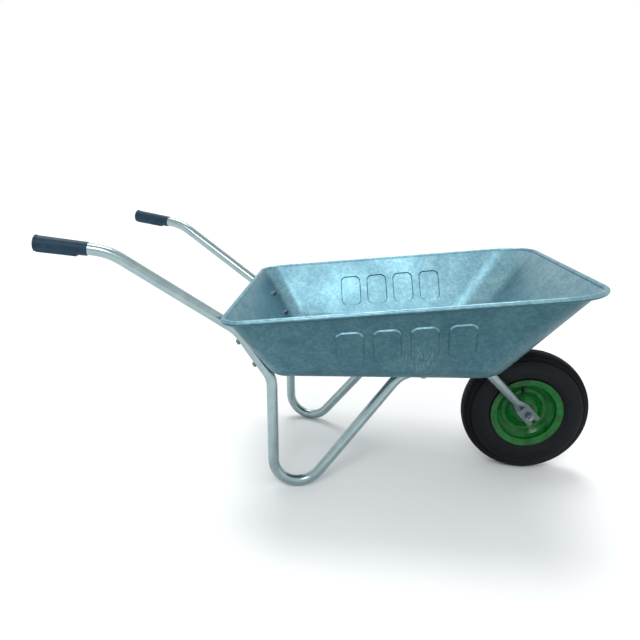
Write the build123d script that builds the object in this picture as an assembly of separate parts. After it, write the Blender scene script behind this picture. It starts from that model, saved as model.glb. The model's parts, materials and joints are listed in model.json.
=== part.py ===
from build123d import *
import math
import os

os.makedirs("parts", exist_ok=True)

# A single-wheel builder's wheelbarrow, in millimetres. +X points from the grips to the wheel, +Y to the
# user's left, +Z up. The origin lies on the ground at the middle of the length and of the width.

# ---------------------------------------------------------------- driving dimensions
overall_length = 1508.0       # grip ends to the front of the tyre

# wheel, 3.50-8 pneumatic
tyre_radius = 190.0
tyre_half_width = 42.0
tread_half_width = 27.0
tyre_side_wall = 5.0
tread_thickness = 12.0
groove_depth = 3.5
groove_width = 3.0
groove_pitch = 11.0
groove_places = (-1.5, -0.5, 0.5, 1.5)     # in pitches from the middle of the tread
crown_drop = 6.0              # from the middle of the tread to its edge
widest_radius = 144.0         # where the side walls stand out furthest
bead_seat_radius = 90.0
bead_toe = 23.0               # half distance between the inner edges of the tyre's beads
bead_thickness = 6.5          # of the tyre's edge, along the axle
bead_rise = 3.5               # further out where the edge meets the flange's rim
flange_radius = 107.0
flange_half_width = 35.0
flange_lean = 4.0             # the flange stands this much further out at its edge than at its root
well_radius = 80.0
well_half_width = 14.0
rim_bend_radii = (2.5, 2.5, 6.0, 10.0, 10.0, 10.0)     # from the flange in to the dome
rim_sheet = 2.0
rim_draft = 1.0               # the bead seat narrows this much towards the middle
disc_outer_radius = 66.0      # flat ring where the two halves of the wheel meet
disc_inner_radius = 57.0
dome_radius = 32.0
dome_height = 24.0
tube_skin = 2.0
tube_gap = 0.3                # between the inner tube and the tyre's crown
tube_side_gap = 3.5           # between the inner tube and the tyre's side walls
bead_radius_step = 2.0        # each step of the tyre's edge round the flange
valve_radius = 4.25
valve_angle = 100.0           # degrees round the wheel from straight ahead, towards the top
valve_offset = 10.0           # from the wheel's middle plane towards the right-hand side
valve_tip_radius = 58.0
valve_neck_radius = 2.6
valve_neck_length = 11.0
valve_root_gap = 0.5          # short of the inner tube
valve_hole_gap = 0.3
valve_hole_length = 30.0
cap_radius = 4.0
cap_end = 2.0

# hub and axle
axle_diameter = 12.0
hub_tube_diameter = 36.0
hub_tube_wall = 2.0
hub_half_length = 44.0
bearing_width = 10.0
bearing_inset = 1.0           # from the end of the hub tube
spacer_wall = 3.0
axle_chamfer = 1.0
race_thickness = 2.8
ball_diameter = 5.2
ball_count = 8
fork_plate_y = 58.0           # middle of each flattened fork end, from the centre plane
axle_overhang = 6.0           # thread left standing past each nut
nut_width = 19.0
nut_height = 9.0
washer_diameter = 25.0
washer_thickness = 2.5

# side tubes
tube_diameter = 30.0
tube_wall = 1.5
toe_in = 11.45                # degrees that each side frame closes towards the wheel
splay = 1.3                   # degrees that each side frame leans out towards the ground
half_spread = 195.0           # half distance between the side frames at the origin
handle_rise = 5.5             # degrees that the grips rise towards their ends
handle_bend = (-587.0, 655.0)       # X and Z of the corners of each tube's centre line
wall_bend = (-281.0, 459.0)
leg_bend = (-189.0, 325.0)
foot_centre_x = -106.0
under_tray_z = 333.0          # centre line of the run under the tray, extended back to X = 0
floor_rise = 2.5              # degrees that this run and the tray floor rise towards the wheel
brace_bend_x = 163.0
fork_bend_x = 400.0
handle_bend_radius = 150.0
wall_bend_radius = 95.0
leg_bend_radius = 75.0
foot_bend_radius = 72.0
brace_bend_radius = 80.0
fork_bend_radius = 80.0
plate_width = 43.0
plate_thickness = 3.0
plate_back = 32.0             # from the axle back to the crease
plate_front = 25.0            # from the axle on to the open end of the slot
squeeze_length = 36.0         # where the round tube turns into the flat plate
squeeze_offset = 4.0          # round end of that stretch, outside the plate's middle
slot_width = 12.6
split_angle = 35.0            # half of each side arc of the round end, which becomes the plate's edge

# grips
grip_length = 122.0
grip_outer_radius = 19.0
grip_inner_radius = 17.0
grip_end_wall = 4.0
grip_end_slope = 3.0          # width of the sloping edge of the closed end
grip_lip = 1.2
grip_lip_place = 2.5          # from the closed end to the edge of the lip
grip_lip_end = 6.0
grip_shoulder = 8.0           # where the lip has run out
groove_count = 4
finger_pitch = 20.0
finger_radius = 11.0
finger_depth = 2.6
pad_width = 25.5              # raised pad under the grip, which the finger grooves cut
pad_thickness = 22.2
pad_drop = 9.35               # from the tube's centre line down to the pad's middle
pad_corner = 7.0
pad_low = 17.85               # where the grooves start from

# tray
tray_sheet = 1.2
rear_rim_half = 356.0         # half widths to the outside of the side walls
front_rim_half = 352.0
rear_floor_half = 282.0
rear_rim_z = 507.0
front_rim_x = 604.0
front_rim_z = 634.0
front_floor_x = 422.0
rear_corner_radius = 58.0
front_corner_radius = 112.0
floor_edge_radius = 55.0
bead_radius = 7.0
bead_sheet = 1.2
bead_bite = 0.8               # how far the rolled edge reaches into the wall
panel_count = 4               # plain raised panels pressed into each side wall
panel_pitch = 91.0
panel_width = 70.0
panel_height = 104.0          # up the slope of the wall
panel_corner = 20.0
panel_depth = 3.0
panel_slope = 45.0            # degrees that the panels' edges lean
panel_middle_x = 135.0
panel_drop = 104.0            # from the rim down the wall to the middle of the panels

# straps and fasteners
strap_width = 40.0
strap_thickness = 4.0
strap_corner = 6.0
strap_positions = (225.0, 340.0)    # X of the two straps under the floor
bolt_diameter = 8.0
bolt_head_width = 13.0
bolt_head_height = 5.3
bolt_nut_height = 6.5
bolt_washer_diameter = 20.0
bolt_washer_thickness = 1.6
bolt_overhang = 4.0
wall_bolt_shares = (0.18, 0.645)     # places along the wall run, from its upper bend

# clearances
hole_clearance = 0.4          # on the radius, round a bolt
contact_gap = 0.05            # between faces that bear on each other
running_gap = 0.05            # between turning pieces

# ---------------------------------------------------------------- what follows from them
axle_x = overall_length / 2 - tyre_radius
axle_z = tyre_radius
axle_radius = axle_diameter / 2
tube_radius = tube_diameter / 2
bolt_radius = bolt_diameter / 2
toe_slope = math.tan(math.radians(toe_in))
splay_slope = math.tan(math.radians(splay))
floor_slope = math.tan(math.radians(floor_rise))
floor_normal = Vector(-floor_slope, 0, 1).normalized()      # from the tubes up into the tray
up = Vector(0, 0, 1)

side_plane = Plane(
    origin=(0, half_spread, 0),
    x_dir=(1, -toe_slope, 0),
    z_dir=(-toe_slope, -1, -splay_slope),
)


def side_y(x, z):
    """Y of the left side frame's plane at a given X and Z."""
    return half_spread - toe_slope * x - splay_slope * z


def side_point(x, z):
    return Vector(x, side_y(x, z), z)


def under_tray_point(x):
    return side_point(x, under_tray_z + floor_slope * x)


def other_side(point):
    return Vector(point.X, -point.Y, point.Z)


def mirrored(shape):
    return mirror(shape, about=Plane.XZ)


def save(name, shape):
    shape.label = name
    export_step(shape, f"parts/{name}.step")


def save_pair(name, left_shape):
    save(f"{name}_left", left_shape)
    save(f"{name}_right", mirrored(left_shape))


def group(solids):
    return Compound(children=[s if isinstance(s, Solid) else s.solids()[0] for s in solids])


# ---------------------------------------------------------------- side tubes
def tangent_corner(start, centre, radius, turn):
    """Direction of the line from start that touches the circle, turned to the chosen side."""
    to_centre = centre - start
    angle = math.atan2(to_centre.Y, to_centre.X) + turn * math.asin(radius / to_centre.length)
    return Vector(math.cos(angle), math.sin(angle))


def foot_corner():
    """Where the leg and the brace would meet if the foot had no bend: the bend then rests on the ground."""
    low = side_plane.y_dir.Z
    leg = side_plane.to_local_coords(side_point(*leg_bend))
    brace = side_plane.to_local_coords(under_tray_point(brace_bend_x))
    centre_s = side_plane.to_local_coords(side_point(foot_centre_x, 0)).X
    centre = Vector(centre_s, tube_radius / low + foot_bend_radius)
    leg_dir = tangent_corner(leg, centre, foot_bend_radius, -1)
    brace_dir = tangent_corner(brace, centre, foot_bend_radius, 1)
    between = brace - leg
    cross = leg_dir.X * brace_dir.Y - leg_dir.Y * brace_dir.X
    along = (between.X * brace_dir.Y - between.Y * brace_dir.X) / cross
    corner = Vector(leg.X, leg.Y) + leg_dir * along
    return side_plane.from_local_coords(corner)


fork_bend = under_tray_point(fork_bend_x)
axle_point = Vector(axle_x, fork_plate_y, axle_z)
fork_flat = Vector(axle_x - fork_bend.X, 0, axle_z - fork_bend.Z).normalized()
plate_start = axle_point - fork_flat * plate_back
squeeze_start = plate_start - fork_flat * squeeze_length + Vector(0, squeeze_offset, 0)
wall_top = side_point(*wall_bend)
wall_foot = side_point(*leg_bend)

# the grip's lip is the rearmost point of the whole barrow
handle_slope = math.tan(math.radians(handle_rise))
handle_in = (side_point(1, -handle_slope) - side_point(0, 0)).normalized()
lip_radius = grip_outer_radius + grip_lip
grip_face_x = (
    -overall_length / 2
    - grip_lip_place * handle_in.X
    + lip_radius * math.sqrt(1 - handle_in.X ** 2)
)
grip_face = side_point(grip_face_x, handle_bend[1] + handle_slope * (handle_bend[0] - grip_face_x))
grip_end = grip_face + handle_in * grip_end_wall


def tube_line():
    corners = [
        grip_end,
        side_point(*handle_bend),
        wall_top,
        wall_foot,
        foot_corner(),
        under_tray_point(brace_bend_x),
        fork_bend,
        squeeze_start,
    ]
    radii = (
        handle_bend_radius,
        wall_bend_radius,
        leg_bend_radius,
        foot_bend_radius,
        brace_bend_radius,
        fork_bend_radius,
    )
    return FilletPolyline(*corners, radius=radii)


def split_circle(plane, radius):
    """A circle of four arcs, wide ones above and below, to match the four edges of the flat plate's end."""
    side, top = 2 * split_angle, 180 - 2 * split_angle
    arcs = [
        CenterArc((0, 0), radius, -split_angle, side),
        CenterArc((0, 0), radius, split_angle, top),
        CenterArc((0, 0), radius, 180 - split_angle, side),
        CenterArc((0, 0), radius, 180 + split_angle, top),
    ]
    return plane * make_face(Wire(arcs))


def flat_section(plane, width, thickness):
    half = width / 2 - thickness / 2
    r = thickness / 2
    edges = [
        ThreePointArc((half, -r), (half + r, 0), (half, r)),
        Line((half, r), (-half, r)),
        ThreePointArc((-half, r), (-half - r, 0), (-half, -r)),
        Line((-half, -r), (half, -r)),
    ]
    return plane * make_face(Wire(edges))


def fork_end(path):
    """The squeezed end of the tube: round to flat, then a plate with an open slot for the axle."""
    direction = path % 1
    across = Vector(fork_flat.Z, 0, -fork_flat.X)
    round_plane = Plane(origin=path @ 1, x_dir=across, z_dir=direction)
    flat_plane = Plane(origin=plate_start, x_dir=across, z_dir=fork_flat)
    squeeze = loft([
        split_circle(round_plane, tube_radius),
        flat_section(flat_plane, plate_width, plate_thickness),
    ])
    plate = extrude(flat_section(flat_plane, plate_width, plate_thickness), amount=plate_back + plate_front)
    slot_plane = Plane(origin=axle_point, x_dir=fork_flat, z_dir=(0, 1, 0))
    slot = slot_plane * Cylinder(slot_width / 2, plate_thickness * 4)
    slot += slot_plane * Pos(plate_front, 0, 0) * Box(2 * plate_front, slot_width, plate_thickness * 4)
    return squeeze + plate - slot


def bolt_hole(centre, axis, length):
    return Plane(origin=centre, z_dir=axis) * Cylinder(bolt_radius + hole_clearance, length)


wall_run = Vector(wall_bend[0] - leg_bend[0], 0, wall_bend[1] - leg_bend[1]).normalized()
wall_normal = Vector(wall_run.Z, 0, -wall_run.X)      # from the tube into the tray
wall_bolt_points = [wall_top + (wall_foot - wall_top) * share for share in wall_bolt_shares]
floor_bolt_points = [under_tray_point(x) for x in strap_positions]


def frame_tube():
    path = tube_line()
    start = Plane(origin=path @ 0, z_dir=path % 0)
    tube = sweep(start * (Circle(tube_radius) - Circle(tube_radius - tube_wall)), path=path)
    tube += fork_end(path)
    for point in wall_bolt_points:
        tube -= bolt_hole(point, wall_normal, 2 * tube_diameter)
    for point in floor_bolt_points:
        tube -= bolt_hole(point, floor_normal, 2 * tube_diameter)
    return tube


# ---------------------------------------------------------------- grips
def grip():
    side = up.cross(handle_in).normalized()
    plane = Plane(origin=grip_face, x_dir=side, z_dir=handle_in)      # local Z runs along the tube
    profile = [
        (0, 0),
        (grip_outer_radius - grip_end_slope, 0),
        (lip_radius, grip_lip_place),
        (lip_radius, grip_lip_end),
        (grip_outer_radius, grip_shoulder),
        (grip_inner_radius, grip_length),
        (0, grip_length),
    ]
    body = revolve(Plane.XZ * make_face(Polyline(*profile, close=True)), axis=Axis.Z)
    pad_length = (groove_count + 0.5) * finger_pitch
    pad_face = Pos(0, -pad_drop, 0) * RectangleRounded(pad_width, pad_thickness, pad_corner)
    body += Pos(0, 0, grip_shoulder) * extrude(pad_face, amount=pad_length)
    for i in range(groove_count):
        z = grip_shoulder + finger_pitch * (i + 0.75)
        y = -pad_low - finger_depth - finger_radius
        body -= Pos(0, y, z) * Rot(0, 90, 0) * Cylinder(finger_radius, 4 * grip_outer_radius)
    bore = Pos(0, 0, grip_end_wall - contact_gap + grip_length / 2) * Cylinder(
        tube_radius + contact_gap, grip_length
    )
    return plane * (body - bore)


# ---------------------------------------------------------------- tray
def wall_offset_point():
    """A point of the tray's rear wall, outside face: it rests on both tubes."""
    return Vector(wall_bend[0], 0, wall_bend[1]) + wall_normal * (tube_radius + contact_gap)


def rear_wall_x(z):
    point = wall_offset_point()
    return point.X + (z - point.Z) * wall_run.X / wall_run.Z


def floor_z(x):
    """Height of the floor's underside, which rests on the straps."""
    lift = (tube_radius + strap_thickness + 2 * contact_gap) / floor_normal.Z
    return under_tray_z + floor_slope * x + lift


def rear_floor_corner():
    """X and Z where the rear wall would meet the floor."""
    point = wall_offset_point()
    slope = wall_run.X / wall_run.Z
    z = (floor_z(0) + floor_slope * (point.X - slope * point.Z)) / (1 - floor_slope * slope)
    return rear_wall_x(z), z


rear_rim_x = rear_wall_x(rear_rim_z)
rim_slope = (front_rim_z - rear_rim_z) / (front_rim_x - rear_rim_x)


def tray_planes():
    """Outside faces of the tray: origin and outward normal of the floor, the four walls and the rim."""
    front_run = Vector(front_rim_x - front_floor_x, 0, front_rim_z - floor_z(front_floor_x))
    rear_floor_x, rear_floor_z = rear_floor_corner()
    front_out = Vector(front_run.Z, 0, -front_run.X).normalized()
    a = Vector(rear_rim_x, rear_rim_half, rear_rim_z)
    b = Vector(front_rim_x, front_rim_half, front_rim_z)
    c = Vector(rear_floor_x, rear_floor_half, rear_floor_z)
    left_out = (b - a).cross(c - a).normalized()
    if left_out.Y < 0:
        left_out = left_out * -1
    rim_out = Vector(-rim_slope, 0, 1).normalized()
    return {
        "floor": (c, floor_normal * -1),
        "rear": (wall_offset_point(), wall_normal * -1),
        "front": (b, front_out),
        "left": (c, left_out),
        "right": (other_side(c), other_side(left_out)),
        "rim": (a, rim_out),
    }


def tray_block(inset, rim_raise):
    """A solid of the tray's shape with its walls moved in by inset and its top moved up by rim_raise."""
    block = Box(2 * overall_length, 2 * overall_length, 2 * overall_length)
    for name, (origin, out) in tray_planes().items():
        shift = rim_raise if name == "rim" else -inset
        cut_plane = Plane(origin=origin + out * shift, z_dir=out)
        block = split(block, bisect_by=cut_plane, keep=Keep.BOTTOM)
    block = block.solids()[0]
    half_way_up = (rear_rim_z + under_tray_z) / 2
    for radius, end in ((rear_corner_radius, -1), (front_corner_radius, 1)):
        corners = [
            e for e in block.edges()
            if ((e @ 0).Z - half_way_up) * ((e @ 1).Z - half_way_up) < 0 and (e @ 0.5).X * end > 0
        ]
        block = fillet(corners, radius - inset)
    bottom = block.faces().sort_by(Axis.Z)[0].edges()
    return fillet(bottom, floor_edge_radius - inset)


def rim_bead():
    """The rolled edge: a thin round tube that follows the outside of the rim."""
    outset = bead_radius - bead_bite
    top = tray_block(-outset, 0).faces().sort_by(Axis((0, 0, 0), (-rim_slope, 0, 1)))[-1]
    path = top.outer_wire()
    start = Plane(origin=path @ 0, z_dir=path % 0)
    return sweep(start * (Circle(bead_radius) - Circle(bead_radius - bead_sheet)), path=path)


def panels(shrink, depth_in):
    """The raised panels of both side walls, each edge moved in by shrink and the whole by depth_in."""
    a, out = tray_planes()["left"]
    along = Vector(front_rim_x - rear_rim_x, front_rim_half - rear_rim_half, front_rim_z - rear_rim_z)
    along = along.normalized()
    down = along.cross(out).normalized()
    if down.Z > 0:
        down = down * -1
    share = (panel_middle_x - rear_rim_x) / (front_rim_x - rear_rim_x)
    rim_point = Vector(
        panel_middle_x,
        rear_rim_half + share * (front_rim_half - rear_rim_half),
        rear_rim_z + share * (front_rim_z - rear_rim_z),
    )
    solids = []
    for i in range(panel_count):
        place = rim_point + along * (panel_pitch * (i - (panel_count - 1) / 2)) + down * panel_drop
        plane = Plane(origin=place - out * depth_in, x_dir=along, z_dir=out)
        width, height = panel_width - 2 * shrink, panel_height - 2 * shrink
        face = plane * RectangleRounded(width, height, panel_corner - shrink)
        solids.append(extrude(face, amount=panel_depth, taper=panel_slope))
    return solids + [mirrored(solid) for solid in solids]


def tray():
    """A pressed pan with raised panels, a rolled edge and bolt holes."""
    lean = math.tan(math.radians(panel_slope) / 2)
    inner = tray_block(tray_sheet, 2 * bead_radius)
    pan = tray_block(0, 0)
    for panel in panels(0, 0):
        pan += panel
    pan -= inner
    for pocket in panels(tray_sheet * lean, tray_sheet):
        pan -= pocket
    pan += rim_bead()
    for point in wall_bolt_points:
        for centre in (point, other_side(point)):
            pan -= bolt_hole(centre, wall_normal, 2 * tube_diameter)
    for point in floor_bolt_points:
        for centre in (point, other_side(point)):
            pan -= bolt_hole(centre, floor_normal, 2 * tube_diameter)
    return pan


# ---------------------------------------------------------------- straps and fasteners
def strap(point):
    """A flat bar across both tubes, under the tray floor."""
    middle = Vector(point.X, 0, point.Z) + floor_normal * (tube_radius + contact_gap + strap_thickness / 2)
    bar = Box(strap_width, 2 * (point.Y + tube_radius), strap_thickness)
    bar = Plane(origin=middle, x_dir=(1, 0, floor_slope), z_dir=floor_normal) * fillet(
        bar.edges().filter_by(Axis.Z), strap_corner
    )
    for centre in (point, other_side(point)):
        bar -= bolt_hole(centre, floor_normal, 3 * tube_diameter)
    return bar


def hex_prism(width, height):
    return extrude(RegularPolygon(width / 2, 6, major_radius=False), amount=height)


def washer(outer, inner, thickness):
    return extrude(Circle(outer) - Circle(inner), amount=thickness)


def bolt_set(centre, axis, grip_above):
    """Bolt, washer and nut along an axis: the head is under the tube, the nut lies grip_above past centre."""
    plane = Plane(origin=centre, z_dir=axis)
    head_top = -tube_radius - contact_gap
    nut_seat = grip_above + contact_gap + bolt_washer_thickness + contact_gap
    tip = nut_seat + bolt_nut_height + bolt_overhang
    head = Pos(0, 0, head_top - bolt_head_height) * hex_prism(bolt_head_width, bolt_head_height)
    shank = Pos(0, 0, head_top) * extrude(Circle(bolt_radius), amount=tip - head_top)
    ring = Pos(0, 0, grip_above + contact_gap) * washer(
        bolt_washer_diameter / 2, bolt_radius + running_gap, bolt_washer_thickness
    )
    nut = Pos(0, 0, nut_seat) * (
        hex_prism(bolt_head_width, bolt_nut_height)
        - extrude(Circle(bolt_radius + running_gap), amount=bolt_nut_height)
    )
    return plane * (head + shank), plane * ring, plane * nut


def fastener_groups():
    wall_stack = tube_radius + contact_gap + tray_sheet
    floor_stack = tube_radius + 2 * contact_gap + strap_thickness + tray_sheet
    for name, points, axis, stack in (
        ("wall", wall_bolt_points, wall_normal, wall_stack),
        ("floor", floor_bolt_points, floor_normal, floor_stack),
    ):
        sets = [bolt_set(point, axis, stack) for point in points]
        sets += [bolt_set(other_side(point), axis, stack) for point in points]
        save(f"{name}_bolts", group([s[0] for s in sets]))
        save(f"{name}_bolt_washers", group([s[1] for s in sets]))
        save(f"{name}_bolt_nuts", group([s[2] for s in sets]))


# ---------------------------------------------------------------- wheel, turned about its own Z axis
wheel_plane = Plane(origin=(axle_x, 0, axle_z), x_dir=(1, 0, 0), z_dir=(0, -1, 0))
hub_outer = hub_tube_diameter / 2
hub_bore = hub_outer - hub_tube_wall


def placed(shape):
    return wheel_plane * shape


def rim_half():
    """One pressed half of the wheel: flange, bead seat, well, dished disc and hub dome, on the +Z side."""
    t = rim_sheet / 2
    seat = bead_seat_radius - t
    joint = t + running_gap / 2
    line = FilletPolyline(
        (flange_radius, flange_half_width + t),
        (seat, flange_half_width - flange_lean + t),
        (seat - rim_draft, bead_toe - rim_sheet),
        (well_radius + rim_sheet, well_half_width),
        (disc_outer_radius, joint),
        (disc_inner_radius, joint),
        (dome_radius, dome_height),
        (hub_outer + running_gap + t, dome_height),
        radius=rim_bend_radii,
    )
    section = make_face(offset(line, amount=t, side=Side.BOTH, closed=True))
    return revolve(Plane.XZ * section, axis=Axis.Z)


def valve_axis():
    """Along the valve, from the wheel's axis outward."""
    angle = math.radians(valve_angle)
    return Plane(
        origin=(0, 0, valve_offset),
        x_dir=(0, 0, 1),
        z_dir=(math.cos(angle), math.sin(angle), 0),
    )


def rim_halves():
    half = rim_half()
    hole = valve_axis() * Pos(0, 0, well_radius) * Cylinder(valve_radius + valve_hole_gap, valve_hole_length)
    save("rim_half_right", placed(half - hole))
    save("rim_half_left", placed(mirror(half, about=Plane.XY)))


def tyre():
    shoulder_r = tyre_radius - crown_drop
    seat = bead_seat_radius + contact_gap
    heel = bead_toe + bead_thickness
    inner_crown = tyre_radius - tread_thickness
    inner_shoulder = tread_half_width - crown_drop
    foot = (flange_radius + bead_radius_step, heel + bead_rise)
    inner_foot = (flange_radius + 2 * bead_radius_step, bead_toe)
    outside = [
        foot,
        (widest_radius, tyre_half_width),
        (shoulder_r, tread_half_width),
    ]
    inside = [
        (inner_crown, inner_shoulder),
        (widest_radius, tyre_half_width - tyre_side_wall),
        inner_foot,
    ]

    def below(points):
        return [(r, -z) for r, z in reversed(points)]

    bead = [inner_foot, (seat, bead_toe), (seat, heel), (seat + bead_radius_step, heel), foot]
    outline = [
        ThreePointArc(*outside),
        ThreePointArc(outside[-1], (tyre_radius, 0), below(outside)[0]),
        ThreePointArc(*below(outside)),
        Polyline(*below(bead)),
        ThreePointArc(*[(r, -z) for r, z in reversed(inside)]),
        Line((inner_crown, -inner_shoulder), (inner_crown, inner_shoulder)),
        ThreePointArc(*inside),
        Polyline(*bead),
    ]
    section = make_face([edge for line in outline for edge in line.edges()])
    carcass = revolve(Plane.XZ * section, axis=Axis.Z)
    for place in groove_places:
        z = place * groove_pitch
        surface = tyre_radius - crown_drop * (z / tread_half_width) ** 2
        carcass -= Pos(0, 0, z) * (
            Cylinder(tyre_radius + crown_drop, groove_width)
            - Cylinder(surface - groove_depth, groove_width)
        )
    return carcass


def inner_tube():
    """The inner tube, and the radius of its inside, where the valve starts."""
    crown = tyre_radius - tread_thickness
    floor = flange_radius + 2 * bead_radius_step + 1
    centre = (crown + floor) / 2
    half_height = (crown - floor) / 2 - tube_gap
    half_width = tyre_half_width - tyre_side_wall - tube_side_gap
    ring = revolve(Plane.XZ * Pos(centre, 0) * Ellipse(half_height, half_width), axis=Axis.Z)
    hollow = revolve(
        Plane.XZ * Pos(centre, 0) * Ellipse(half_height - tube_skin, half_width - tube_skin), axis=Axis.Z
    )
    return ring - hollow, floor + tube_gap


def valve(base_radius):
    axis = valve_axis()
    start = valve_tip_radius + valve_neck_length
    stem = Pos(0, 0, start) * extrude(Circle(valve_radius), amount=base_radius - valve_root_gap - start)
    stem += Pos(0, 0, valve_tip_radius) * extrude(Circle(valve_neck_radius), amount=valve_neck_length)
    cap = Pos(0, 0, valve_tip_radius - cap_end) * extrude(Circle(cap_radius), amount=valve_neck_length)
    cap -= Pos(0, 0, valve_tip_radius - running_gap) * extrude(
        Circle(valve_neck_radius + running_gap), amount=valve_neck_length
    )
    return axis * stem, axis * cap


def hub_tube():
    return Cylinder(hub_outer, 2 * hub_half_length) - Cylinder(hub_bore, 2 * hub_half_length)


def bearing(z):
    """Ball bearing with its outer face at height z: outer race, inner race and a ring of balls."""
    outer_r = hub_bore - running_gap
    inner_r = axle_radius + running_gap
    pitch_r = (outer_r + inner_r) / 2
    track = ball_diameter / 2 + running_gap
    middle = z - bearing_width / 2
    groove = Torus(pitch_r, track)
    outer = washer(outer_r, outer_r - race_thickness, bearing_width)
    inner = washer(inner_r + race_thickness, inner_r, bearing_width)
    outer = Pos(0, 0, middle) * (Pos(0, 0, -bearing_width / 2) * outer - groove)
    inner = Pos(0, 0, middle) * (Pos(0, 0, -bearing_width / 2) * inner - groove)
    balls = [
        Pos(0, 0, middle) * Rot(0, 0, 360 * i / ball_count) * Pos(pitch_r, 0, 0) * Sphere(ball_diameter / 2)
        for i in range(ball_count)
    ]
    return outer, inner, balls


def hub_parts():
    save("hub_tube", placed(hub_tube()))
    outer, inner, balls = bearing(hub_half_length - bearing_inset)
    for side, turn in (("right", Rot(0, 0, 0)), ("left", Rot(180, 0, 0))):
        save(f"bearing_outer_race_{side}", placed(turn * outer))
        save(f"bearing_inner_race_{side}", placed(turn * inner))
        save(f"bearing_balls_{side}", group([placed(turn * ball) for ball in balls]))
    plate_in = fork_plate_y - plate_thickness / 2
    plate_out = fork_plate_y + plate_thickness / 2
    spacer_start = hub_half_length - bearing_inset + contact_gap
    spacer = Pos(0, 0, spacer_start) * washer(
        axle_radius + spacer_wall, axle_radius + running_gap, plate_in - contact_gap - spacer_start
    )
    ring = Pos(0, 0, plate_out + contact_gap) * washer(
        washer_diameter / 2, axle_radius + running_gap, washer_thickness
    )
    nut_z = plate_out + 2 * contact_gap + washer_thickness
    nut = Pos(0, 0, nut_z) * (
        hex_prism(nut_width, nut_height) - extrude(Circle(axle_radius + running_gap), amount=nut_height)
    )
    axle_half = nut_z + nut_height + axle_overhang
    save("axle", placed(chamfer(Cylinder(axle_radius, 2 * axle_half).edges(), axle_chamfer)))
    for side, turn in (("right", Rot(0, 0, 0)), ("left", Rot(180, 0, 0))):
        save(f"axle_spacer_{side}", placed(turn * spacer))
        save(f"axle_washer_{side}", placed(turn * ring))
        save(f"axle_nut_{side}", placed(turn * nut))


# ---------------------------------------------------------------- build
save_pair("frame_tube", frame_tube())
save_pair("grip", grip())
save("tray", tray())
save("cross_strap_rear", strap(floor_bolt_points[0]))
save("cross_strap_front", strap(floor_bolt_points[1]))
fastener_groups()
rim_halves()
save("tyre", placed(tyre()))
tube_ring, tube_base = inner_tube()
save("inner_tube", placed(tube_ring))
stem_shape, cap_shape = valve(tube_base)
save("valve_stem", placed(stem_shape))
save("valve_cap", placed(cap_shape))
hub_parts()
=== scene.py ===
import json
import math

import bmesh
import bpy
from mathutils import Matrix, Vector


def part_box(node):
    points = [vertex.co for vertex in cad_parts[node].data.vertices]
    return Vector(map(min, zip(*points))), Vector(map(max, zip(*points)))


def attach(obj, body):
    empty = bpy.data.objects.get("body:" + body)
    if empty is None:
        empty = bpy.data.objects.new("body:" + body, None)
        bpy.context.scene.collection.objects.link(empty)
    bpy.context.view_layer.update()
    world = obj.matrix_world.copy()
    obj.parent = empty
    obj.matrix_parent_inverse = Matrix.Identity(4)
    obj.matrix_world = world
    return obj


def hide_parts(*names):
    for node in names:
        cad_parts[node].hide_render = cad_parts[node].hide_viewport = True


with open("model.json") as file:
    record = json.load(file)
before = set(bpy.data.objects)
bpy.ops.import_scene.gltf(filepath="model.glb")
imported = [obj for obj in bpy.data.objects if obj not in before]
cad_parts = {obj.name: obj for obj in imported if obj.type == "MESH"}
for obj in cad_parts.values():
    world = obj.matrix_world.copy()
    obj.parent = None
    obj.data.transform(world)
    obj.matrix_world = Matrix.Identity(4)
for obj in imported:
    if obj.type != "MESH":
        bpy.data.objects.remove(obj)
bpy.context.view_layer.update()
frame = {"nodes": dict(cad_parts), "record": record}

tyre_low, tyre_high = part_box("tyre")
axle = ((tyre_low[0] + tyre_high[0]) / 2, 0.0, (tyre_low[2] + tyre_high[2]) / 2)
tyre_radius = (tyre_high[0] - tyre_low[0]) / 2


# ---------------------------------------------------------------- helpers for materials

def hex_colour(code):
    """A sRGB hex colour as the linear RGBA that the nodes work in."""
    parts = [int(code[i:i + 2], 16) / 255 for i in (1, 3, 5)]
    linear = [c / 12.92 if c <= 0.04045 else ((c + 0.055) / 1.055) ** 2.4 for c in parts]
    return (*linear, 1.0)


def add(tree, kind, settings=None, **links):
    """Adds a node of that kind. settings are its properties; links are its inputs, as values or sockets."""
    node = tree.nodes.new(kind)
    for name, value in (settings or {}).items():
        setattr(node, name, value)
    for name, value in links.items():
        key = int(name[1:]) if name[0] == "i" and name[1:].isdigit() else name.replace("_", " ")
        socket = node.inputs[key]
        if isinstance(value, bpy.types.NodeSocket):
            tree.links.new(value, socket)
        else:
            socket.default_value = value
    return node


def ramp(tree, factor, *stops):
    """A colour ramp over factor through (place, hex or grey value) stops."""
    node = add(tree, "ShaderNodeValToRGB", i0=factor)
    elements = node.color_ramp.elements
    while len(elements) < len(stops):
        elements.new(0.5)
    for element, (place, colour) in zip(elements, stops):
        element.position = place
        element.color = hex_colour(colour) if isinstance(colour, str) else (colour, colour, colour, 1)
    return node.outputs["Color"]


def finish(name):
    """A new material with an empty tree, its shader, and the piece's own coordinates in metres."""
    material = bpy.data.materials.new(name)
    material.use_nodes = True
    tree = material.node_tree
    tree.nodes.clear()
    shader = add(tree, "ShaderNodeBsdfPrincipled")
    out = add(tree, "ShaderNodeOutputMaterial")
    tree.links.new(shader.outputs["BSDF"], out.inputs["Surface"])
    place = add(tree, "ShaderNodeTexCoord").outputs["Object"]
    return material, tree, shader, place


def join(tree, source, shader, name):
    tree.links.new(source, shader.inputs[name])


# ---------------------------------------------------------------- finishes

rub_place = (0.19, -0.315, 0.425)       # low on the right-hand wall of the tray, in metres


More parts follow.
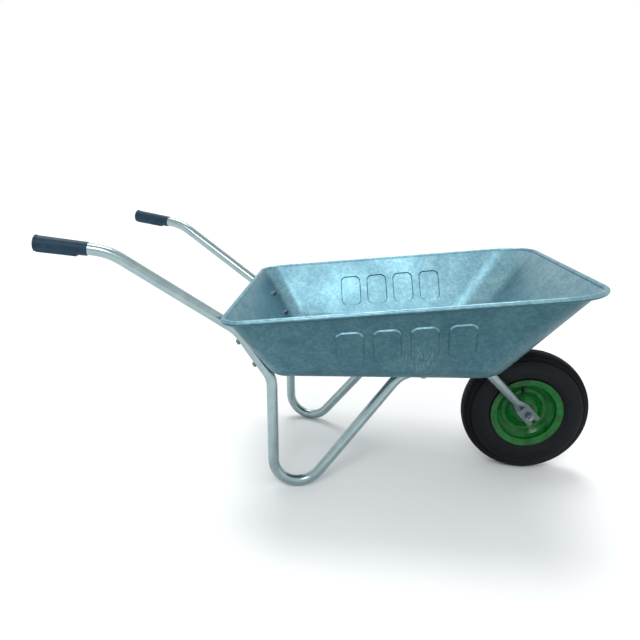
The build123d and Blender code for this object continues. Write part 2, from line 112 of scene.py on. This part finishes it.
def galvanised_sheet():
    """Hot-dip galvanised steel: zinc with a cool cast, 7 mm spangle crystals and a cloudy bloom, with
    painted shade on the outside walls.
    """
    material, tree, shader, place = finish("galvanised_sheet_steel")
    crystals = add(tree, "ShaderNodeTexVoronoi", {"feature": "F1"}, Vector=place, Scale=1 / 0.007,
                   Randomness=1.0)
    clouds = add(tree, "ShaderNodeTexNoise", Vector=place, Scale=1 / 0.045, Detail=5.0, Roughness=0.6)
    streaks = add(tree, "ShaderNodeTexNoise", Vector=place, Scale=1 / 0.2, Detail=3.0, Roughness=0.5)
    crystal_grey = add(tree, "ShaderNodeSeparateColor", Color=crystals.outputs["Color"]).outputs[0]
    blend = add(tree, "ShaderNodeMath", {"operation": "MULTIPLY_ADD"}, i0=crystal_grey, i1=0.28,
                i2=add(tree, "ShaderNodeMath", {"operation": "MULTIPLY"}, i0=clouds.outputs["Fac"],
                       i1=0.72).outputs[0]).outputs[0]
    colour = ramp(tree, blend, (0.3, "#668d9b"), (0.5, "#739aa6"), (0.7, "#83a9b3"))
    # bright rub marks: strokes 2 mm wide and 2 cm long
    strokes = add(tree, "ShaderNodeMapping", Vector=place, Rotation=(0, math.radians(20), 0),
                  Scale=(1 / 0.0022, 1, 1 / 0.022)).outputs["Vector"]
    scratch = add(tree, "ShaderNodeTexNoise", Vector=strokes, Scale=1.0, Detail=2.0).outputs["Fac"]
    reach = add(tree, "ShaderNodeVectorMath", {"operation": "DISTANCE"}, i0=place,
                i1=rub_place).outputs["Value"]
    worn = add(tree, "ShaderNodeMath", {"operation": "MULTIPLY"},
               i0=ramp(tree, scratch, (0.52, 0.0), (0.66, 1.0)),
               i1=ramp(tree, reach, (0.015, 0.75), (0.075, 0.0))).outputs[0]
    colour = add(tree, "ShaderNodeMix", {"data_type": "RGBA"}, Factor=worn, i6=colour,
                 i7=hex_colour("#c3d6da")).outputs[2]
    # painted shade: the outside walls are painted darker, most of all towards the rim, and the inside is
    # left bright, standing in for how light falls on the tray
    facing = add(tree, "ShaderNodeSeparateXYZ", Vector=add(tree, "ShaderNodeNewGeometry").outputs["Normal"])
    height = add(tree, "ShaderNodeSeparateXYZ", Vector=place).outputs["Z"]
    tilt = add(tree, "ShaderNodeMath", {"operation": "MULTIPLY_ADD"}, i0=facing.outputs["Z"], i1=0.5,
               i2=0.5).outputs[0]
    painted_shade_outside = ramp(tree, tilt, (0.44, 1.0), (0.52, 0.0))
    painted_shade_tint = ramp(tree, height, (0.36, "#b9c8cb"), (0.56, "#8fa3a6"))
    colour = add(tree, "ShaderNodeMix", {"data_type": "RGBA", "blend_type": "MULTIPLY"}, Factor=painted_shade_outside,
                 i6=colour, i7=painted_shade_tint).outputs[2]
    join(tree, colour, shader, "Base Color")
    rough = ramp(tree, streaks.outputs["Fac"], (0.3, 0.34), (0.7, 0.5))
    join(tree, rough, shader, "Roughness")
    bump = add(tree, "ShaderNodeBump", Height=blend, Strength=0.1, Distance=0.0004)
    join(tree, bump.outputs["Normal"], shader, "Normal")
    shader.inputs["Metallic"].default_value = 0.9
    return material


def galvanised_tube():
    """Zinc-coated steel tube: smoother and more even than the sheet."""
    material, tree, shader, place = finish("galvanised_steel_tube")
    clouds = add(tree, "ShaderNodeTexNoise", Vector=place, Scale=1 / 0.03, Detail=4.0, Roughness=0.6)
    colour = ramp(tree, clouds.outputs["Fac"], (0.3, "#8b9ea1"), (0.7, "#9badb0"))
    # painted shade: the tube colour darkens towards the axle, where the fork sits in the shade of the tray
    # and wheel
    reach = add(tree, "ShaderNodeVectorMath", {"operation": "DISTANCE"}, i0=place,
                i1=axle).outputs["Value"]
    colour = add(tree, "ShaderNodeVectorMath", {"operation": "MULTIPLY"}, i0=colour,
                 i1=ramp(tree, reach, (0.06, 0.35), (0.26, 1.0))).outputs["Vector"]
    join(tree, colour, shader, "Base Color")
    rough = ramp(tree, clouds.outputs["Fac"], (0.3, 0.2), (0.7, 0.25))
    join(tree, rough, shader, "Roughness")
    shader.inputs["Metallic"].default_value = 0.95
    return material


def zinc_plate():
    """Zinc-plated fasteners: bluish grey, a little mottled, and painted darker than bright zinc to stand in
    for the shade they sit in.
    """
    material, tree, shader, place = finish("zinc_plated_steel")
    clouds = add(tree, "ShaderNodeTexNoise", Vector=place, Scale=1 / 0.006, Detail=3.0, Roughness=0.6)
    join(tree, ramp(tree, clouds.outputs["Fac"], (0.3, "#626d70"), (0.7, "#858f92")), shader, "Base Color")
    join(tree, ramp(tree, clouds.outputs["Fac"], (0.3, 0.28), (0.7, 0.42)), shader, "Roughness")
    shader.inputs["Metallic"].default_value = 1.0
    return material


def bearing_steel():
    """Ground bearing steel: plain bright metal, finely ground."""
    material, tree, shader, place = finish("ground_bearing_steel")
    grain = add(tree, "ShaderNodeTexNoise", Vector=place, Scale=1 / 0.002, Detail=2.0)
    join(tree, ramp(tree, grain.outputs["Fac"], (0.3, "#b4b6b8"), (0.7, "#cfd1d2")), shader, "Base Color")
    join(tree, ramp(tree, grain.outputs["Fac"], (0.3, 0.16), (0.7, 0.26)), shader, "Roughness")
    shader.inputs["Metallic"].default_value = 1.0
    return material


def green_enamel():
    """Stove enamel on pressed steel: deep glossy green with a slight orange peel."""
    material, tree, shader, place = finish("gloss_green_enamel")
    peel = add(tree, "ShaderNodeTexNoise", Vector=place, Scale=1 / 0.004, Detail=2.0, Roughness=0.5)
    dust = add(tree, "ShaderNodeTexNoise", Vector=place, Scale=1 / 0.03, Detail=4.0, Roughness=0.6)
    join(tree, ramp(tree, dust.outputs["Fac"], (0.3, "#013f10"), (0.72, "#046622")), shader, "Base Color")
    join(tree, ramp(tree, dust.outputs["Fac"], (0.3, 0.22), (0.7, 0.36)), shader, "Roughness")
    bump = add(tree, "ShaderNodeBump", Height=peel.outputs["Fac"], Strength=0.08, Distance=0.0003)
    join(tree, bump.outputs["Normal"], shader, "Normal")
    shader.inputs["Specular IOR Level"].default_value = 0.2
    shader.inputs["Coat Weight"].default_value = 0.2
    shader.inputs["Coat Roughness"].default_value = 0.12
    return material


def moulded(name, dark, light, rough_low, rough_high, grain, depth, sheen):
    """A moulded plastic or rubber: one colour with a fine moulded grain and a little unevenness."""
    material, tree, shader, place = finish(name)
    patch = add(tree, "ShaderNodeTexNoise", Vector=place, Scale=1 / 0.02, Detail=5.0, Roughness=0.65)
    fine = add(tree, "ShaderNodeTexNoise", Vector=place, Scale=1 / grain, Detail=2.0, Roughness=0.5)
    join(tree, ramp(tree, patch.outputs["Fac"], (0.32, dark), (0.7, light)), shader, "Base Color")
    join(tree, ramp(tree, patch.outputs["Fac"], (0.3, rough_low), (0.7, rough_high)), shader, "Roughness")
    bump = add(tree, "ShaderNodeBump", Height=fine.outputs["Fac"], Strength=0.25, Distance=depth)
    join(tree, bump.outputs["Normal"], shader, "Normal")
    shader.inputs["Specular IOR Level"].default_value = sheen
    return material


finishes = {
    "galvanised_sheet": galvanised_sheet(),
    "galvanised_tube": galvanised_tube(),
    "zinc_fasteners": zinc_plate(),
    "bearing_steel": bearing_steel(),
    "green_paint": green_enamel(),
    # PVC hand grip: satin dark petrol blue
    "grip_plastic": moulded("moulded_pvc_grip", "#041e2d", "#08364a", 0.38, 0.55, 0.0016, 0.0002, 0.25),
    # tyre rubber: carbon black with a bluish bloom
    "tyre_rubber": moulded("tyre_rubber", "#030508", "#081017", 0.36, 0.52, 0.0018, 0.0003, 0.16),
    # butyl rubber: matt black
    "tube_rubber": moulded("butyl_rubber", "#0f1011", "#191b1c", 0.55, 0.7, 0.0012, 0.0002, 0.3),
    "cap_plastic": moulded("black_polyethylene", "#0a0b0b", "#151617", 0.4, 0.55, 0.001, 0.0001, 0.3),
}

slot_of = {row["node"]: row["material_slot"] for row in frame["record"]["subparts"]}
for node, thing in frame["nodes"].items():
    thing.data.materials.clear()
    thing.data.materials.append(finishes[slot_of[node]])


# ---------------------------------------------------------------- tyre

def arc_through(first, middle, last, count):
    """count points from first to last on the circle through the three points."""
    (ax, ay), (bx, by), (cx, cy) = first, middle, last
    d = 2 * (ax * (by - cy) + bx * (cy - ay) + cx * (ay - by))
    a2, b2, c2 = ax * ax + ay * ay, bx * bx + by * by, cx * cx + cy * cy
    ux = (a2 * (by - cy) + b2 * (cy - ay) + c2 * (ay - by)) / d
    uy = (a2 * (cx - bx) + b2 * (ax - cx) + c2 * (bx - ax)) / d
    start, mid, end = (math.atan2(y - uy, x - ux) for x, y in (first, middle, last))
    if not min(start, end) <= mid <= max(start, end):
        start, end = (a % math.tau for a in (start, end))
    radius = math.hypot(ax - ux, ay - uy)
    turns = [start + (end - start) * i / (count - 1) for i in range(count)]
    return [(ux + radius * math.cos(t), uy + radius * math.sin(t)) for t in turns]


def tyre_cover(crown):
    """Ribbed 3.50-8 cover: fine ribs round the tread and shoulders, and moulded rings on the side walls.

    Places on the section are (distance from the axle, distance from the middle plane), in metres.
    """
    flange_edge, widest, shoulder = (0.109, 0.033), (0.144, 0.042), (crown - 0.006, 0.027)
    side = arc_through(flange_edge, widest, shoulder, 72)
    top = arc_through(shoulder, (crown, 0.0), (shoulder[0], -shoulder[1]), 81)[1:-1]
    rib_depth, ring_height, ring_half_width = 0.0015, 0.0008, 0.0013
    tread_pitch, rib_pitch, ring_places = 0.009, 0.0055, (0.1215, 0.1265, 0.156, 0.160)
    ribs_start, tread_edge = 0.166, 0.0265

    def relief(r, z):
        """How far the rubber stands out or in at that place on the section."""
        if r > ribs_start:
            turn = z / tread_pitch if abs(z) < tread_edge else r / rib_pitch
            wave = math.cos(math.tau * turn)
            return rib_depth * (max(-0.6, min(0.6, wave * 1.6)) / 0.6 - 1)      # flat-topped ribs
        near = min(abs(r - place) for place in ring_places)
        return ring_height * max(0.0, 1 - (near / ring_half_width) ** 2)

    centre = Vector((widest[0], 0))
    outline = []
    for r, z in side + top + [(r, -z) for r, z in reversed(side)]:
        away = (Vector((r, z)) - centre).normalized()
        r, z = Vector((r, z)) + away * relief(r, z)
        outline.append((r, z))
    inside = [(0.0925, 0.0295), (0.0905, 0.0295), (0.0905, 0.023), (0.111, 0.023), (0.144, 0.037),
              (0.163, 0.0335), (0.178, 0.021)]
    outline += [(r, -z) for r, z in inside] + list(reversed(inside))
    shape = bmesh.new()
    corners = [shape.verts.new((axle[0] + r, z, axle[2])) for r, z in outline]
    rim = [shape.edges.new(pair) for pair in zip(corners, corners[1:] + corners[:1])]
    bmesh.ops.spin(shape, geom=corners + rim, cent=axle, axis=(0, 1, 0), angle=math.tau, steps=144,
                   use_merge=True)
    return shape


def place_mesh(shape, name, body, slot, *stands_for):
    """Turns a bmesh into a shaded piece on a body, with its slot's finish."""
    bmesh.ops.remove_doubles(shape, verts=shape.verts, dist=1e-6)
    bmesh.ops.recalc_face_normals(shape, faces=shape.faces)
    for face in shape.faces:
        face.smooth = True
    mesh = bpy.data.meshes.new(name)
    shape.to_mesh(mesh)
    shape.free()
    mesh.set_sharp_from_angle(angle=math.radians(38))
    mesh.materials.append(finishes[slot])
    piece = bpy.data.objects.new(name, mesh)
    bpy.context.scene.collection.objects.link(piece)
    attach(piece, body)
    if stands_for:
        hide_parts(*stands_for)
    return piece


place_mesh(tyre_cover(tyre_radius), "tyre_cover", "wheel", "tyre_rubber", "tyre")


# ---------------------------------------------------------------- stage, lights and camera

def area_light(name, place, aim, size, power, colour):
    """A soft square light at place that points to aim."""
    data = bpy.data.lights.new(name, "AREA")
    data.size = size
    data.energy = power
    data.color = hex_colour(colour)[:3]
    lamp = bpy.data.objects.new(name, data)
    lamp.location = place
    lamp.rotation_euler = (Vector(aim) - Vector(place)).to_track_quat("-Z", "Y").to_euler()
    bpy.context.scene.collection.objects.link(lamp)


def sky_light(name, place, spread, strength):
    """A broad even light from the direction of place."""
    data = bpy.data.lights.new(name, "SUN")
    data.angle = math.radians(spread)
    data.energy = strength
    lamp = bpy.data.objects.new(name, data)
    lamp.location = place
    lamp.rotation_euler = Vector(place).to_track_quat("Z", "Y").to_euler()
    bpy.context.scene.collection.objects.link(lamp)


def stage():
    """A plain pale floor that runs to the horizon, and a soft pale sky, dimmer overhead."""
    shape = bmesh.new()
    bmesh.ops.create_grid(shape, x_segments=2, y_segments=2, size=60)
    mesh = bpy.data.meshes.new("floor")
    shape.to_mesh(mesh)
    shape.free()
    floor = bpy.data.objects.new("floor", mesh)
    bpy.context.scene.collection.objects.link(floor)
    material, tree, shader, place = finish("pale_floor_paint")
    grain = add(tree, "ShaderNodeTexNoise", Vector=place, Scale=1 / 0.4, Detail=2.0)
    join(tree, ramp(tree, grain.outputs["Fac"], (0.3, "#eceded"), (0.7, "#f0f1f1")), shader, "Base Color")
    shader.inputs["Roughness"].default_value = 0.9
    shader.inputs["Specular IOR Level"].default_value = 0.1
    mesh.materials.append(material)

    world = bpy.data.worlds.new("studio")
    world.use_nodes = True
    tree = world.node_tree
    tree.nodes.clear()
    up = add(tree, "ShaderNodeSeparateXYZ", Vector=add(tree, "ShaderNodeTexCoord").outputs["Generated"])
    sky = ramp(tree, up.outputs["Z"], (0.0, 1.0), (0.75, 1.0), (1.0, 0.5))
    back = add(tree, "ShaderNodeBackground", Color=sky, Strength=1.0)
    out = add(tree, "ShaderNodeOutputWorld")
    tree.links.new(back.outputs["Background"], out.inputs["Surface"])
    bpy.context.scene.world = world


def camera():
    """The camera at eye level on the barrow's right-hand side."""
    azimuth, elevation, roll = math.radians(2.406), math.radians(16.197), math.radians(3.086)
    back = Vector((math.sin(azimuth) * math.cos(elevation), -math.cos(azimuth) * math.cos(elevation),
                   math.sin(elevation)))
    level = Vector((math.cos(azimuth), math.sin(azimuth), 0))
    upright = level.cross(-back)
    right = math.cos(roll) * level + math.sin(roll) * upright
    up = math.cos(roll) * upright - math.sin(roll) * level
    data = bpy.data.cameras.new("camera")
    data.lens = 31.48
    eye = bpy.data.objects.new("camera", data)
    eye.matrix_world = Matrix.Translation((-0.00983, -1.61705, 0.90024)) @ Matrix(
        (right, up, back)).transposed().to_4x4()
    bpy.context.scene.collection.objects.link(eye)
    bpy.context.scene.camera = eye


stage()
sky_light("overhead", (-0.1, 0.35, 1.0), 30, 1.6)
area_light("front", (-0.5, -3.0, 2.9), (0, 0, 0.5), 1.2, 40, "#f2fbff")
camera()
bpy.context.scene.view_settings.view_transform = "Standard"
